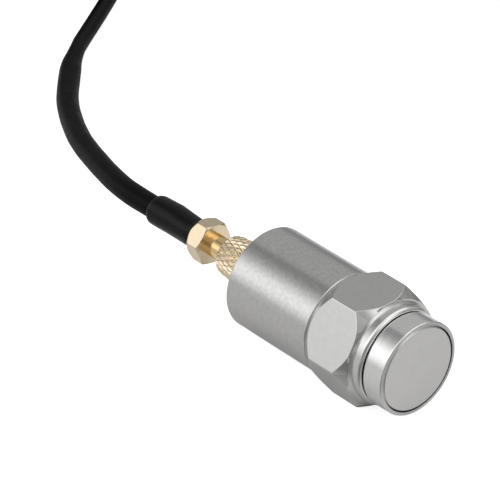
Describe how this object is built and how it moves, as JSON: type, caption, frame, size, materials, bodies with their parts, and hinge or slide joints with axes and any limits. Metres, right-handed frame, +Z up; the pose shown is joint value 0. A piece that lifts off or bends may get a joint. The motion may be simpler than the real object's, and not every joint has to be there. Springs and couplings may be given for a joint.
{
  "type": "accelerometer",
  "caption": "Small vibration sensor with a hexagonal base on a magnetic foot, a gold plug with a knurled nut and a black coaxial lead coiled to a bayonet plug.",
  "frame": {"origin": "on the surface that the sensor lies on, under the middle of the rigid sensor and its plug", "axes": "+Z is up, the sensor's axis lies along Y with the magnet facing -Y and the lead leaving along +Y, and X completes a right-handed frame"},
  "size_m": [0.0829, 0.184, 0.017],
  "materials": {
    "satin_steel": "satin, lightly tumbled stainless steel",
    "turned_steel": "fine turned stainless steel, bright",
    "nickel_plate": "satin nickel plating",
    "black_resin": "black potting resin",
    "plain_steel": "plain steel, slightly dull",
    "heavy_alloy": "ground heavy metal alloy",
    "piezo_ceramic": "fired cream ceramic",
    "bronze_sheet": "rolled bronze sheet",
    "white_plastic": "white fluoropolymer",
    "tinned_sheet": "tinned sheet and wire",
    "green_laminate": "green solder mask",
    "chip_plastic": "black moulded plastic",
    "red_lead": "red wire insulation",
    "gold_plate": "gold plating over brass",
    "braid": "tinned copper braid",
    "black_sleeve": "satin black shrink sleeve",
    "black_jacket": "satin black cable jacket",
    "black_rubber": "matt black rubber",
    "red_rubber": "red silicone rubber"
  },
  "bodies": {
    "sensor": {"magnet_disc": "nickel_plate", "resin_ring": "black_resin", "magnet_pot": "turned_steel", "mounting_stud": "plain_steel", "sensor_base": "satin_steel", "post_insulator": "white_plastic", "lower_piezo_ring": "piezo_ceramic", "contact_disc": "bronze_sheet", "upper_piezo_ring": "piezo_ceramic", "seismic_mass": "heavy_alloy", "spring_washer": "plain_steel", "preload_nut": "plain_steel", "shield_can": "tinned_sheet", "board_carrier": "white_plastic", "circuit_board": "green_laminate", "board_parts": "chip_plastic", "signal_lead": "red_lead", "output_lead": "tinned_sheet", "sensor_housing": "satin_steel", "jack_body": "gold_plate", "jack_insulator": "white_plastic", "jack_contact": "gold_plate", "plug_barrel": "gold_plate", "plug_body": "gold_plate", "plug_insulator": "white_plastic", "plug_pin": "gold_plate", "plug_cable_core": "white_plastic", "plug_cable_braid": "braid", "crimp_ferrule": "gold_plate", "shrink_tube": "black_sleeve", "cable_sleeve": "black_sleeve", "cable": "black_jacket", "cable_coil": "black_jacket", "cable_tail": "black_jacket", "bayonet_boot": "black_rubber", "bayonet_ferrule": "nickel_plate", "bayonet_body": "nickel_plate", "bayonet_snap_ring": "plain_steel", "bayonet_wave_washer": "plain_steel", "bayonet_gasket": "red_rubber", "bayonet_insulator": "white_plastic", "bayonet_pin": "gold_plate", "bayonet_cable_core": "white_plastic", "bayonet_cable_braid": "braid"},
    "nut": {"coupling_nut": "gold_plate"},
    "collar": {"bayonet_collar": "nickel_plate"}
  },
  "joints": [
    {"name": "nut_spin", "type": "hinge", "parent": "sensor", "child": "nut", "pos_m": [0, 0.0106, 0.0085], "axis": [0, 1, 0], "continuous": true},
    {"name": "collar_spin", "type": "hinge", "parent": "sensor", "child": "collar", "pos_m": [0.0026, 0.1503, 0.00725], "axis": [-1, 0, 0], "continuous": true}
  ]
}
